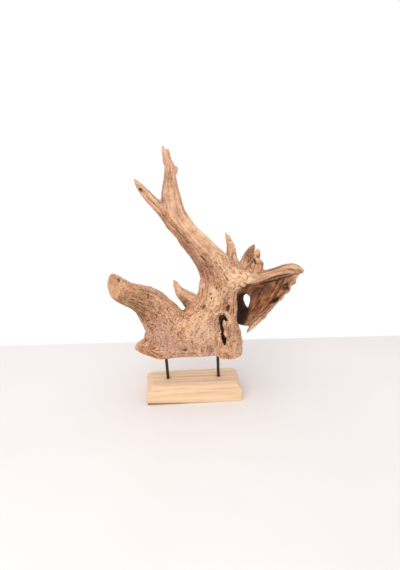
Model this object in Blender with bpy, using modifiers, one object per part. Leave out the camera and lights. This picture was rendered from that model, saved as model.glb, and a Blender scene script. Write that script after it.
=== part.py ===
"""A weathered teak root held up by two steel pins on a chamfered block of pale teak.

Metres, +Z up. The origin is the middle of the block's underside, +X runs along the block
and -Y is the front. The root is a free form: its places are read in units of which
ROOT_FORM_HEIGHT make up its height, and ROOT_HEIGHT gives those units their size.
"""

import math

import bmesh
import bpy
import numpy as np
from mathutils import Euler, Matrix, Vector, noise

# The block of teak that the sculpture stands on.
BLOCK_LENGTH = 0.220
BLOCK_DEPTH = 0.100
BLOCK_HEIGHT = 0.042
BLOCK_CHAMFER = 0.012
BLOCK_EDGE_ROUND = 0.0008

# Edges that turn by more than this are kept crisp, and are the ones broken on the block.
SHARP_ANGLE = math.radians(30)

# The two steel pins, each a little off plumb as they were knocked in.
PIN_DIAMETER = 0.007
PIN_SPACING = 0.120
PIN_LEANS = {"left_pin": math.radians(-3.6), "right_pin": math.radians(-1.6)}
PIN_END_CHAMFER = 0.0006
PIN_SIDES = 24
PIN_BLOCK_DEPTH = 0.028
PIN_ROOT_DEPTH = 0.034

# The drilled holes are wider and deeper than the pins by this much.
BORE_CLEARANCE = 0.0003
BORE_SIDES = 24

# The root, from its sawn underside to the tip of its tallest prong.
ROOT_HEIGHT = 0.480
ROOT_GAP = 0.066
ROOT_FORM_HEIGHT = 480
UNIT = ROOT_HEIGHT / ROOT_FORM_HEIGHT
ROOT_BASE = BLOCK_HEIGHT + ROOT_GAP

# How finely the root is worked, in units: step along a limb, its least half size, the grid of
# the fused form and the rounds of smoothing that take its steps off.
LIMB_SIDES = 28
LIMB_STEP = 5.0
LIMB_FEWEST_RINGS = 6
LIMB_THINNEST = 1.5
GRID = 2.6
SMOOTHING = 0.5
SMOOTHING_ROUNDS = 6
ROOT_FACES = 7600

# Limbs in units: centre x, y, z, then half width as seen from the front and half depth.
LIMBS = {
    "trunk": [
        (-2, 4, -16, 108, 31), (-3, 4, 20, 108, 36), (-6, 4, 50, 106, 41), (4, 3, 74, 91, 42),
        (26, 3, 92, 68, 41), (39, 2, 107, 54, 41), (49, 2, 126, 46, 40), (56, 2, 147, 41, 39),
        (62, 2, 172, 45, 38), (62, 3, 196, 36, 32),
    ],
    "left_lobe": [
        (-30, 6, 22, 40, 38), (-78, 1, 16, 32, 38), (-109, 8, 14, 20, 28), (-133, 17, 12, 6, 12),
    ],
    "right_column": [
        (80, -9, -16, 34, 42), (81, -8, 22, 34, 40), (83, -7, 56, 28, 36), (80, -6, 84, 22, 34),
        (81, -5, 112, 22, 33), (80, -3, 142, 21, 30), (86, 0, 172, 24, 26),
    ],
    "antler": [
        (78, 2, 148, 34, 34), (62, 1, 190, 44, 38), (39, 1, 229, 34, 32), (10, 2, 264, 29, 27),
        (-14, 4, 294, 26, 24), (-37, 5, 330, 25, 22), (-43, 4, 367, 21, 18), (-45, 3, 392, 18, 16),
        (-45, 2, 419, 13, 13), (-46, 1, 440, 11, 12), (-49, 0, 454, 8, 9), (-52, -1, 476, 7, 8),
    ],
    "antler_tip": [(-54, -1, 446, 6, 7), (-57, -2, 468, 5, 6), (-59, -2, 486, 4, 4)],
    "antler_knot": [(-46, 2, 432, 12, 11), (-37, 2, 432, 10, 9), (-29, 2, 432, 6, 6)],
    "prong": [
        (-18, 5, 286, 17, 17), (-35, 5, 311, 21, 19), (-53, 5, 336, 17, 15), (-80, 1, 362, 12, 11),
        (-101, -5, 388, 10, 10), (-112, -9, 403, 8, 8), (-120, -12, 415, 4, 4), (-124, -13, 421, 2, 3),
    ],
    "stub": [
        (-30, 4, 20, 50, 36), (-52, 3, 57, 54, 38), (-78, 0, 98, 46, 38), (-99, -5, 130, 39, 35),
        (-125, -12, 149, 30, 31), (-152, -18, 163, 26, 28), (-176, -22, 182, 25, 26),
        (-206, -26, 200, 22, 23),
    ],
    "back_fin": [
        (24, 14, 86, 30, 22), (10, 26, 106, 24, 16), (-9, 32, 124, 17, 10), (-24, 35, 138, 14, 8),
        (-32, 38, 151, 10, 6), (-36, 40, 160, 8, 5), (-40, 41, 166, 5, 4), (-43, 42, 170, 3, 3),
    ],
    "thorn": [
        (93, 12, 196, 22, 18), (93, 28, 219, 14, 9), (92, 34, 240, 10, 7), (87, 38, 259, 7, 6),
        (83, 40, 270, 5, 4), (79, 42, 281, 2, 3),
    ],
    "leaf": [
        (118, 16, 186, 24, 16), (127, 34, 204, 16, 9), (134, 43, 217, 15, 6), (140, 48, 229, 12, 5),
        (147, 50, 239, 7, 4), (151, 51, 247, 2, 2),
    ],
    "burr": [
        (142, 6, 180, 25, 20), (147, 14, 200, 17, 14), (150, 18, 218, 9, 10), (151, 21, 231, 7, 8),
        (152, 22, 243, 3, 4),
    ],
    "ridge": [
        (60, 0, 178, 38, 36), (92, -4, 184, 29, 33), (118, -5, 185, 17, 29), (146, -4, 185, 9, 24),
        (172, -2, 190, 7, 20), (202, -1, 197, 7, 17), (228, 0, 201, 9, 15), (246, 1, 195, 9, 12),
        (257, 1, 189, 5, 6),
    ],
    "rim": [
        (203, 14, 121, 3, 6), (191, 13, 108, 5, 7), (172, 12, 89, 6, 7), (153, 11, 69, 6, 7),
        (139, 10, 53, 5, 6), (127, 9, 39, 3, 4),
    ],
}

# These limbs are built of level slices, the others of slices square to their run.
LEVEL_LIMBS = ("trunk", "right_column")

# The thin sheet of the wing: its four edges, from the body outwards and from the ridge down.
SHEET_TOP = [(84, 12, 166), (128, 14, 178), (172, 12, 188), (214, 9, 196), (252, 5, 186)]
SHEET_FOOT = [(88, 46, 45), (108, 43, 46), (124, 32, 49), (138, 12, 52)]
SHEET_BODY_EDGE = [(84, 12, 166), (86, 34, 128), (88, 44, 84), (88, 46, 45)]
SHEET_RIM_EDGE = [
    (252, 5, 186), (244, 10, 170), (241, 11, 157), (230, 12, 153), (228, 13, 139), (216, 14, 131),
    (210, 14, 119), (195, 14, 110), (178, 14, 91), (157, 13, 69), (138, 12, 52),
]
SHEET_BULGE = 30
SHEET_BULGE_FULLNESS = 0.8
SHEET_THICKNESS = 8
SHEET_STEPS = 44

# Relief that shows from a step away: long flutes with the grain, and broad swellings. A
# flute's width is a share of the limb's half width, and a limb's grain fades outside it.
FLUTE_DEPTH = 3.0
FLUTE_ALONG = 90
FLUTE_ACROSS = 0.42
GRAIN_FADE = 8.0
GRAIN_LEAST = 0.02
SWELL_DEPTH = 2.6
SWELL_SIZE = 46

# Blocks that the saw cuts take away, long and deep enough to pass any limb, in units.
SLAB_REACH = 320
SLAB_DEPTH = 160


def clear_scene():
    """Removes whatever the file opened with."""
    for old in list(bpy.data.objects):
        bpy.data.objects.remove(old)


def make_material(name, colour, roughness, metallic=0.0):
    """A plain Principled surface."""
    material = bpy.data.materials.new(name)
    material.use_nodes = True
    shader = material.node_tree.nodes["Principled BSDF"]
    shader.inputs["Base Color"].default_value = (*colour, 1.0)
    shader.inputs["Roughness"].default_value = roughness
    shader.inputs["Metallic"].default_value = metallic
    return material


def add_object(name, mesh, collection, material=None):
    """Links a mesh as a new object."""
    made = bpy.data.objects.new(name, mesh)
    collection.objects.link(made)
    if material:
        made.data.materials.append(material)
    return made


def mesh_from_bmesh(name, bm):
    """Turns a bmesh into a mesh and frees it."""
    bmesh.ops.recalc_face_normals(bm, faces=bm.faces)
    mesh = bpy.data.meshes.new(name)
    bm.to_mesh(mesh)
    bm.free()
    return mesh


def cut(target, cutter, name):
    """Takes the cutter's shape out of the target with a Boolean."""
    modifier = target.modifiers.new(name, "BOOLEAN")
    modifier.operation = "DIFFERENCE"
    modifier.solver = "EXACT"
    modifier.object = cutter


def make_cutter(name, mesh, cutters):
    """A hidden helper that only cuts."""
    made = add_object(name, mesh, cutters)
    made.hide_render = True
    made.display_type = "WIRE"
    return made


def bake(target):
    """Replaces an object's mesh by what its modifiers make of it."""
    bpy.context.view_layer.update()
    graph = bpy.context.evaluated_depsgraph_get()
    mesh = bpy.data.meshes.new_from_object(target.evaluated_get(graph))
    target.modifiers.clear()
    target.data = mesh


# Curves through stations.


def smooth_through(stations, samples):
    """Catmull-Rom points through rows of numbers, spread evenly over their parameter."""
    rows = np.array(stations, float)
    padded = np.vstack([2 * rows[0] - rows[1], rows, 2 * rows[-1] - rows[-2]])
    at = np.linspace(0, len(rows) - 1 - 1e-9, samples)
    first = at.astype(int)
    t = (at - first)[:, None]
    a, b, c, d = (padded[first + k] for k in range(4))
    return 0.5 * (
        2 * b + (c - a) * t + (2 * a - 5 * b + 4 * c - d) * t**2
        + (3 * b - a - 3 * c + d) * t**3
    )


def limb_rings(name):
    """Centres, axes across and deep, and half sizes of the rings of one limb."""
    stations = LIMBS[name]
    reach = np.linalg.norm(np.diff(np.array(stations, float)[:, :3], axis=0), axis=1).sum()
    rings = smooth_through(stations, max(LIMB_FEWEST_RINGS, round(reach / LIMB_STEP)))
    centres = rings[:, :3]
    along = np.gradient(centres, axis=0)
    if name in LEVEL_LIMBS:
        along = np.tile((0.0, 0.0, 1.0), (len(along), 1))
    along /= np.linalg.norm(along, axis=1)[:, None]
    across = np.cross(along, (0.0, 1.0, 0.0))
    across /= np.linalg.norm(across, axis=1)[:, None]
    deep = np.cross(across, along)
    return centres, across, deep, np.maximum(rings[:, 3:5], LIMB_THINNEST)


def add_limb(bm, name):
    """Lofts one limb through elliptic rings, closed at both ends."""
    centres, across, deep, halves = limb_rings(name)
    turns = np.linspace(0, 2 * math.pi, LIMB_SIDES, endpoint=False)
    rings = []
    for centre, wide, thick, (half_width, half_depth) in zip(centres, across, deep, halves):
        ring = []
        for turn in turns:
            place = centre + wide * half_width * math.cos(turn) + thick * half_depth * math.sin(turn)
            ring.append(bm.verts.new(place * UNIT))
        rings.append(ring)
    for near, far in zip(rings, rings[1:]):
        for k in range(LIMB_SIDES):
            n = (k + 1) % LIMB_SIDES
            bm.faces.new((near[k], near[n], far[n], far[k]))
    bm.faces.new(rings[0])
    bm.faces.new(rings[-1])


def sheet_surface():
    """The wing's sheet: an open patch between four edges that bulges to the back."""
    top = smooth_through(SHEET_TOP, SHEET_STEPS)[:, None]
    foot = smooth_through(SHEET_FOOT, SHEET_STEPS)[:, None]
    body_edge = smooth_through(SHEET_BODY_EDGE, SHEET_STEPS)[None]
    rim_edge = smooth_through(SHEET_RIM_EDGE, SHEET_STEPS)[None]
    u = np.linspace(0, 1, SHEET_STEPS)[:, None, None]
    v = np.linspace(0, 1, SHEET_STEPS)[None, :, None]
    sides = (1 - v) * top + v * foot + (1 - u) * body_edge + u * rim_edge
    corners = (1 - v) * ((1 - u) * top[0] + u * top[-1]) + v * ((1 - u) * foot[0] + u * foot[-1])
    patch = sides - corners
    bulge = np.sin(math.pi * u) * np.sin(math.pi * v)
    patch[:, :, 1:2] += SHEET_BULGE * np.maximum(bulge, 0) ** SHEET_BULGE_FULLNESS
    bm = bmesh.new()
    grid = [[bm.verts.new(place * UNIT) for place in row] for row in patch]
    for row, after in zip(grid, grid[1:]):
        for k in range(SHEET_STEPS - 1):
            bm.faces.new((row[k], after[k], after[k + 1], row[k + 1]))
    return mesh_from_bmesh("wing_sheet", bm)


def make_sheet(collection):
    """The sheet with its thickness, as a closed shell."""
    sheet = add_object("wing_sheet", sheet_surface(), collection)
    thicken = sheet.modifiers.new("thicken", "SOLIDIFY")
    thicken.thickness = SHEET_THICKNESS * UNIT
    thicken.offset = 0
    bake(sheet)
    return sheet


# The root's relief.


def grain_coordinates(points):
    """For every limb and point: place along it, across it in half widths, and nearness."""
    found = []
    for centres, across, deep, halves in map(limb_rings, LIMBS):
        gaps = points[:, None, :] - centres[None, :, :]
        nearest = np.linalg.norm(gaps, axis=2).argmin(axis=1)
        offset = gaps[np.arange(len(points)), nearest]
        wide = (offset * across[nearest]).sum(1) / halves[nearest, 0]
        thick = (offset * deep[nearest]).sum(1) / halves[nearest, 1]
        length = nearest * LIMB_STEP
        outside = np.maximum(np.hypot(wide, thick) - 1, 0)
        found.append((length, wide, thick, np.exp(-GRAIN_FADE * outside)))
    return found


def weather(mesh):
    """Moves the surface in and out: flutes that follow each limb, and broad swellings."""
    count = len(mesh.vertices)
    flat = np.empty(count * 3)
    mesh.vertices.foreach_get("co", flat)
    points = flat.reshape(-1, 3) / UNIT
    flat = np.empty(count * 3)
    mesh.vertices.foreach_get("normal", flat)
    normals = flat.reshape(-1, 3)
    flutes = np.zeros(count)
    weight = np.full(count, GRAIN_LEAST)
    for number, (length, wide, thick, near) in enumerate(grain_coordinates(points)):
        own_pattern = 7 * number
        for k in np.nonzero(near > GRAIN_LEAST)[0]:
            place = Vector((
                wide[k] / FLUTE_ACROSS, thick[k] / FLUTE_ACROSS, length[k] / FLUTE_ALONG + own_pattern,
            ))
            flutes[k] += near[k] * noise.noise(place)
            weight[k] += near[k]
    swells = np.array([noise.noise(Vector(place) / SWELL_SIZE) for place in points])
    rise = FLUTE_DEPTH * flutes / weight + SWELL_DEPTH * swells
    mesh.vertices.foreach_set("co", ((points + normals * rise[:, None]) * UNIT).ravel())
    mesh.update()


def shape_root(collection, material):
    """The fused, smoothed and fluted form, still without its saw cuts and holes."""
    sheet = make_sheet(collection)
    bm = bmesh.new()
    for name in LIMBS:
        add_limb(bm, name)
    bm.from_mesh(sheet.data)
    bpy.data.objects.remove(sheet)
    root = add_object("teak_root", mesh_from_bmesh("teak_root", bm), collection, material)
    fuse = root.modifiers.new("fuse", "REMESH")
    fuse.mode = "VOXEL"
    fuse.voxel_size = GRID * UNIT
    soften = root.modifiers.new("soften", "SMOOTH")
    soften.factor = SMOOTHING
    soften.iterations = SMOOTHING_ROUNDS
    bake(root)
    weather(root.data)
    thin = root.modifiers.new("thin", "DECIMATE")
    thin.ratio = ROOT_FACES / (2 * len(root.data.vertices))
    bake(root)
    return root


# The root's cuts. Each gives a cutter mesh in the root's own units, and is scaled by UNIT.


def slab_cutter(at, normal):
    """A thick slab whose flat face passes through a point and faces against the normal."""
    bm = bmesh.new()
    bmesh.ops.create_cube(bm, size=1.0)
    bmesh.ops.scale(bm, vec=(SLAB_REACH, SLAB_REACH, SLAB_DEPTH), verts=bm.verts)
    bmesh.ops.translate(bm, vec=(0, 0, SLAB_DEPTH / 2), verts=bm.verts)
    turn = Vector(normal).to_track_quat("Z", "Y").to_matrix().to_4x4()
    bmesh.ops.transform(bm, matrix=Matrix.Translation(at) @ turn, verts=bm.verts)
    bmesh.ops.scale(bm, vec=(UNIT,) * 3, verts=bm.verts)
    return mesh_from_bmesh("slab", bm)


def pocket_cutter(at, halves, turn_deg=(0, 0, 0), rough=0.0):
    """An uneven egg, for a hole or hollow. Its halves are x, y and z before it is turned."""
    bm = bmesh.new()
    bmesh.ops.create_icosphere(bm, subdivisions=3, radius=1.0)
    for vert in bm.verts:
        vert.co *= 1 + rough * noise.noise(vert.co * 1.7 + Vector(at))
    bmesh.ops.scale(bm, vec=halves, verts=bm.verts)
    turn = Euler([math.radians(a) for a in turn_deg]).to_matrix().to_4x4()
    bmesh.ops.transform(bm, matrix=Matrix.Translation(at) @ turn, verts=bm.verts)
    bmesh.ops.scale(bm, vec=(UNIT,) * 3, verts=bm.verts)
    return mesh_from_bmesh("pocket", bm)


def prism_cutter(outline, near, far):
    """A prism that runs from front to back, for an opening drawn as seen from the front."""
    bm = bmesh.new()
    front = bm.faces.new([bm.verts.new((x, near, z)) for x, z in outline])
    pushed = bmesh.ops.extrude_face_region(bm, geom=[front])["geom"]
    back = [part for part in pushed if isinstance(part, bmesh.types.BMVert)]
    bmesh.ops.translate(bm, vec=(0, far - near, 0), verts=back)
    bmesh.ops.scale(bm, vec=(UNIT,) * 3, verts=bm.verts)
    return mesh_from_bmesh("prism", bm)


SAW_CUTS = {
    "underside_cut": ((0, 0, 0), (0, 0, -1)),
    "lobe_cut": ((-106, -13, 3), (-0.60, -0.66, -0.45)),
    "stub_cut": ((-176, -24, 181), (-0.82, -0.52, 0.24)),
}

# Holes and hollows: place, half sizes, turn in degrees and how uneven.
POCKETS = {
    "slit_panel": ((75, -46, 78), (8, 7, 18), (0, 0, 0), 0.2),
    "knot_hole": ((78, -34, 123), (4.5, 9, 9), (0, 12, 0), 0.3),
    "knot_hollow": ((21, -40, 134), (5, 5, 9), (0, -25, 0), 0.2),
    "prong_hollow": ((-107, -17, 392), (4, 7, 7), (0, -35, 0), 0.3),
    "rim_slot": ((192, 15, 114), (13, 8, 3.5), (0, -27, 0), 0.3),
    "rim_pit": ((219, 15, 146), (10, 8, 5), (0, -20, 0), 0.4),
    "tip_notch": ((-52, -1, 482), (3, 12, 7), (0, 0, 0), 0.0),
}

# Openings drawn as seen from the front (x, z), with how near and how far they reach.
CRACKS = {
    "slit": (
        [
            (58, 99), (60, 103), (64, 106), (70, 104), (75, 98), (78, 90), (74, 90), (70, 94),
            (67, 93), (65, 88), (66, 80), (69, 69), (69, 58), (75, 48), (75, 40), (71, 30),
            (67, 37), (65, 47), (63, 57), (64, 66), (61, 77), (60, 89),
        ],
        -70, -18,
    ),
    "wing_hole": (
        [(134, 119), (144, 107), (142, 94), (137, 82), (131, 90), (127, 103), (128, 114)],
        16, 90,
    ),
}


def pin_frame(name):
    """Where a pin crosses the block's top, and how it is turned."""
    side = -1 if name == "left_pin" else 1
    foot = Vector((side * PIN_SPACING / 2, 0, BLOCK_HEIGHT))
    return Matrix.Translation(foot) @ Matrix.Rotation(PIN_LEANS[name], 4, "Y")


def rod_mesh(name, radius, low, high, sides, end_chamfer=0.0):
    """A straight rod along Z from low to high, with its end edges taken off."""
    bm = bmesh.new()
    bmesh.ops.create_cone(
        bm, cap_ends=True, segments=sides, radius1=radius, radius2=radius, depth=high - low
    )
    bmesh.ops.translate(bm, vec=(0, 0, (low + high) / 2), verts=bm.verts)
    if end_chamfer:
        ends = [e for e in bm.edges if abs(e.verts[0].co.z - e.verts[1].co.z) < end_chamfer]
        bmesh.ops.bevel(bm, geom=ends, offset=end_chamfer, segments=1, affect="EDGES")
    return mesh_from_bmesh(name, bm)


def make_pins(collection, cutters, material):
    """The pins and the bores that they stand in, as cutters that span both holes."""
    low = -PIN_BLOCK_DEPTH
    high = ROOT_GAP + PIN_ROOT_DEPTH
    radius = PIN_DIAMETER / 2
    bores = {}
    for name in PIN_LEANS:
        rod = rod_mesh(name, radius, low, high, PIN_SIDES, PIN_END_CHAMFER)
        pin = add_object(name, rod, collection, material)
        pin.data.shade_smooth()
        pin.data.set_sharp_from_angle(angle=SHARP_ANGLE)
        hole = rod_mesh(
            "bore", radius + BORE_CLEARANCE, low - BORE_CLEARANCE, high + BORE_CLEARANCE, BORE_SIDES
        )
        bore = make_cutter(name + "_bore", hole, cutters)
        pin.matrix_world = bore.matrix_world = pin_frame(name)
        bores[name] = bore
    return bores


def make_block(collection, bores, material):
    """The block: a box with its top edges cut to a chamfer and every edge just broken."""
    bm = bmesh.new()
    bmesh.ops.create_cube(bm, size=1.0)
    bmesh.ops.scale(bm, vec=(BLOCK_LENGTH, BLOCK_DEPTH, BLOCK_HEIGHT), verts=bm.verts)
    bmesh.ops.translate(bm, vec=(0, 0, BLOCK_HEIGHT / 2), verts=bm.verts)
    top = [e for e in bm.edges if all(v.co.z > BLOCK_HEIGHT / 2 for v in e.verts)]
    bmesh.ops.bevel(bm, geom=top, offset=BLOCK_CHAMFER, segments=1, affect="EDGES")
    block = add_object("base_block", mesh_from_bmesh("base_block", bm), collection, material)
    edges = block.modifiers.new("broken_edges", "BEVEL")
    edges.width = BLOCK_EDGE_ROUND
    edges.segments = 2
    edges.limit_method = "ANGLE"
    edges.angle_limit = SHARP_ANGLE
    for name, bore in bores.items():
        cut(block, bore, name + "_hole")
    return block


def make_root(collection, cutters, bores, material):
    """The root with its saw cuts, holes and bores, standing over the block."""
    root = shape_root(collection, material)
    root.location.z = ROOT_BASE
    for name, (at, normal) in SAW_CUTS.items():
        cut(root, make_cutter(name, slab_cutter(at, normal), cutters), name)
    for name, (at, halves, turn, rough) in POCKETS.items():
        cut(root, make_cutter(name, pocket_cutter(at, halves, turn, rough), cutters), name)
    for name, (outline, near, far) in CRACKS.items():
        cut(root, make_cutter(name, prism_cutter(outline, near, far), cutters), name)
    for cutter in cutters.objects:
        if not cutter.name.endswith("_bore"):
            cutter.location.z = ROOT_BASE
    for name, bore in bores.items():
        cut(root, bore, name + "_hole")
    return root


def main():
    clear_scene()
    sculpture = bpy.data.collections.new("teak root sculpture")
    cutters = bpy.data.collections.new("cutters")
    for collection in (sculpture, cutters):
        bpy.context.scene.collection.children.link(collection)
    root_wood = make_material("weathered teak", (0.50, 0.30, 0.165), 0.75)
    block_wood = make_material("planed teak", (0.78, 0.55, 0.33), 0.55)
    steel = make_material("blackened steel", (0.055, 0.05, 0.048), 0.45, 0.8)
    bores = make_pins(sculpture, cutters, steel)
    make_block(sculpture, bores, block_wood)
    make_root(sculpture, cutters, bores, root_wood)


main()
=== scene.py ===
"""A weathered teak root on two blackened steel pins over a planed teak block, in a pale studio.

The frame is in metres. Places on the root are in millimetres: x along the block, -y the
front, z above the root's sawn underside.
"""

import math

import bpy
import numpy as np
from mathutils import Matrix, Vector
from mathutils.bvhtree import BVHTree
from mathutils.kdtree import KDTree


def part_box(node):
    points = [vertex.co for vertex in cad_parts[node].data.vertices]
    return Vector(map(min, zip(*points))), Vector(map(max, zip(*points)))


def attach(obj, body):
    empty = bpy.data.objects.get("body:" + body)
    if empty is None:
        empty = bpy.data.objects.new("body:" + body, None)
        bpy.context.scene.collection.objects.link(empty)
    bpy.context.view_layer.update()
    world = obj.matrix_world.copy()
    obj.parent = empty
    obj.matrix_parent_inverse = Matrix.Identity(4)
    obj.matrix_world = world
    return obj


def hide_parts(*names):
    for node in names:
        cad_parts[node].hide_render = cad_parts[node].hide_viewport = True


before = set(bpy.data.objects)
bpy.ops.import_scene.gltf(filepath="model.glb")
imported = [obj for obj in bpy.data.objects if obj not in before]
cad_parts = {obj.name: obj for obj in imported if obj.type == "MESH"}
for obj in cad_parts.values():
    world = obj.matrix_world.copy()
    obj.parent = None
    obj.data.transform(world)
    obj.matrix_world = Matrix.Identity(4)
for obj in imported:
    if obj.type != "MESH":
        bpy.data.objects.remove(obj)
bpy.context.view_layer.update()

MM = 0.001

# The camera: a long lens from just above the sculpture's top, looking down at it.
CAMERA_PLACE = (-0.1002, -1.4824, 0.8386)
CAMERA_AHEAD = (0.0753, 0.9355, -0.3453)
CAMERA_RIGHT = (0.9968, -0.0802, 0.0)
CAMERA_ROLL = math.radians(-0.47)
CAMERA_LENS = 44.21
CAMERA_SHIFT = (-0.0009, -0.0114)

# Where the pins cross the block's top, along x.
PIN_FEET = (-0.060, 0.060)

# How finely the root is worked for the eye, and how its facets are smoothed away first.
ROOT_GRID = 1.92
SMOOTHING_ROUNDS = 10
SMOOTH_IN = 0.6
SMOOTH_OUT = 0.62

# The run of the grain: limbs of the root as x, y, z, half width, half depth.
GRAIN_RUNS = {
    "trunk": [
        (-2, 4, -16, 108, 31), (-3, 4, 20, 108, 36), (-6, 4, 50, 106, 41), (4, 3, 74, 91, 42),
        (26, 3, 92, 68, 41), (39, 2, 107, 54, 41), (49, 2, 126, 46, 40), (56, 2, 147, 41, 39),
        (62, 2, 172, 45, 38), (62, 3, 196, 36, 32),
    ],
    "left_lobe": [
        (-30, 6, 22, 40, 38), (-78, 1, 16, 32, 38), (-109, 8, 14, 20, 28), (-133, 17, 12, 6, 12),
    ],
    "right_column": [
        (80, -9, -16, 34, 42), (81, -8, 22, 34, 40), (83, -7, 56, 28, 36), (80, -6, 84, 22, 34),
        (81, -5, 112, 22, 33), (80, -3, 142, 21, 30), (86, 0, 172, 24, 26),
    ],
    "antler": [
        (78, 2, 148, 34, 34), (62, 1, 190, 44, 38), (39, 1, 229, 34, 32), (10, 2, 264, 29, 27),
        (-14, 4, 294, 26, 24), (-37, 5, 330, 25, 22), (-43, 4, 367, 21, 18), (-45, 3, 392, 18, 16),
        (-45, 2, 419, 13, 13), (-46, 1, 440, 11, 12), (-49, 0, 454, 8, 9), (-59, -2, 486, 5, 6),
    ],
    "prong": [
        (-18, 5, 286, 17, 17), (-35, 5, 311, 21, 19), (-53, 5, 336, 17, 15), (-80, 1, 362, 12, 11),
        (-101, -5, 388, 10, 10), (-112, -9, 403, 8, 8), (-124, -13, 421, 2, 3),
    ],
    "stub": [
        (-30, 4, 20, 50, 36), (-52, 3, 57, 54, 38), (-78, 0, 98, 46, 38), (-99, -5, 130, 39, 35),
        (-125, -12, 149, 30, 31), (-152, -18, 163, 26, 28), (-176, -22, 182, 25, 26),
    ],
    "back_fin": [
        (24, 14, 86, 30, 22), (10, 26, 106, 24, 16), (-9, 32, 124, 17, 10), (-24, 35, 138, 14, 8),
        (-32, 38, 151, 10, 6), (-36, 40, 160, 8, 5), (-40, 41, 166, 5, 4), (-43, 42, 170, 3, 3),
    ],
    "thorn": [
        (93, 12, 196, 22, 18), (93, 28, 219, 14, 9), (92, 34, 240, 10, 7), (87, 38, 259, 7, 6),
        (79, 42, 281, 2, 3),
    ],
    "leaf": [
        (118, 16, 186, 24, 16), (127, 34, 204, 16, 9), (140, 48, 229, 12, 5), (151, 51, 247, 2, 2),
    ],
    "burr": [
        (142, 6, 180, 25, 20), (147, 14, 200, 17, 14), (150, 18, 218, 9, 10), (152, 22, 243, 3, 4),
    ],
    "ridge": [
        (60, 0, 178, 38, 36), (92, -4, 184, 29, 33), (118, -5, 185, 17, 29), (146, -4, 185, 9, 24),
        (172, -2, 190, 7, 20), (202, -1, 197, 7, 17), (228, 0, 201, 9, 15), (257, 1, 189, 5, 6),
    ],
}

# The wing's sheet as strips of grain from the ridge down to the foot: x, y, z along each.
SHEET_RUNS = [
    [(88, 26, 160), (90, 42, 120), (92, 50, 84), (92, 50, 45)],
    [(112, 28, 168), (112, 48, 130), (106, 56, 90), (104, 48, 46)],
    [(138, 26, 176), (140, 50, 145), (126, 56, 100), (114, 42, 47)],
    [(172, 22, 184), (176, 42, 158), (152, 46, 108), (126, 32, 49)],
    [(214, 14, 190), (206, 28, 160), (178, 30, 112), (134, 18, 51)],
    [(250, 6, 184), (228, 14, 140), (192, 14, 106), (140, 12, 52)],
]
SHEET_RADIUS = 9


# Numbers on the root's surface.


def read_points(mesh, name="co"):
    """A mesh's places or normals as rows."""
    flat = np.empty(len(mesh.vertices) * 3, np.float32)
    mesh.vertices.foreach_get(name, flat)
    return flat.reshape(-1, 3).astype(float)


def lattice_noise(points, size, seed):
    """Smooth random values from about -1 to 1, with lumps of the given size."""
    turn = np.array(((0.80, 0.36, 0.48), (-0.60, 0.48, 0.64), (0.0, -0.80, 0.60)))
    at = points @ turn / size + 100
    cell = np.floor(at).astype(np.int64)
    t = at - cell
    t = t * t * (3 - 2 * t)
    table = np.random.default_rng(seed).uniform(-1, 1, 64**3)
    total = np.zeros(len(points))
    for corner in range(8):
        step = np.array((corner & 1, corner >> 1 & 1, corner >> 2))
        place = (cell + step) % 64
        weight = np.where(step, t, 1 - t).prod(axis=1)
        total += weight * table[(place[:, 0] * 64 + place[:, 1]) * 64 + place[:, 2]]
    return total


def smooth_through(stations, samples):
    """Catmull-Rom points through rows of numbers, spread evenly over their parameter."""
    rows = np.array(stations, float)
    padded = np.vstack([2 * rows[0] - rows[1], rows, 2 * rows[-1] - rows[-2]])
    at = np.linspace(0, len(rows) - 1 - 1e-9, samples)
    first = at.astype(int)
    t = (at - first)[:, None]
    a, b, c, d = (padded[first + k] for k in range(4))
    return 0.5 * (
        2 * b + (c - a) * t + (2 * a - 5 * b + 4 * c - d) * t**2
        + (3 * b - a - 3 * c + d) * t**3
    )


def grain_seeds():
    """Places in the wood with the way its fibres run there, and how thick the limb is."""
    places, ways, sizes = [], [], []
    for name, stations in GRAIN_RUNS.items():
        reach = np.linalg.norm(np.diff(np.array(stations, float)[:, :3], axis=0), axis=1).sum()
        rings = smooth_through(stations, max(8, round(reach / 5)))
        centres, halves = rings[:, :3], np.maximum(rings[:, 3:5], 1.5)
        along = np.gradient(centres, axis=0)
        if name in ("trunk", "right_column"):
            along = np.tile((0.0, 0.0, 1.0), (len(along), 1))
        along /= np.linalg.norm(along, axis=1)[:, None]
        across = np.cross(along, (0.0, 1.0, 0.0))
        across /= np.linalg.norm(across, axis=1)[:, None]
        deep = np.cross(across, along)
        wide, thick = across * halves[:, :1], deep * halves[:, 1:]
        for turn in np.linspace(0, 2 * math.pi, 12, endpoint=False):
            line = centres + wide * math.cos(turn) + thick * math.sin(turn)
            places.append(line)
            ways.append(np.gradient(line, axis=0))
            sizes.append(halves.min(axis=1))
    for stations in SHEET_RUNS:
        line = smooth_through(stations, 36)
        places.append(line)
        ways.append(np.gradient(line, axis=0))
        sizes.append(np.full(len(line), SHEET_RADIUS))
    ways = np.vstack(ways)
    ways /= np.linalg.norm(ways, axis=1)[:, None] + 1e-9
    return np.vstack(places), ways, np.concatenate(sizes)


# The grain's grid: its cell, and how many places within what reach each cell follows.
GRAIN_CELL = 7.0
GRAIN_NEIGHBOURS = 14
GRAIN_REACH = 9


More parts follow.
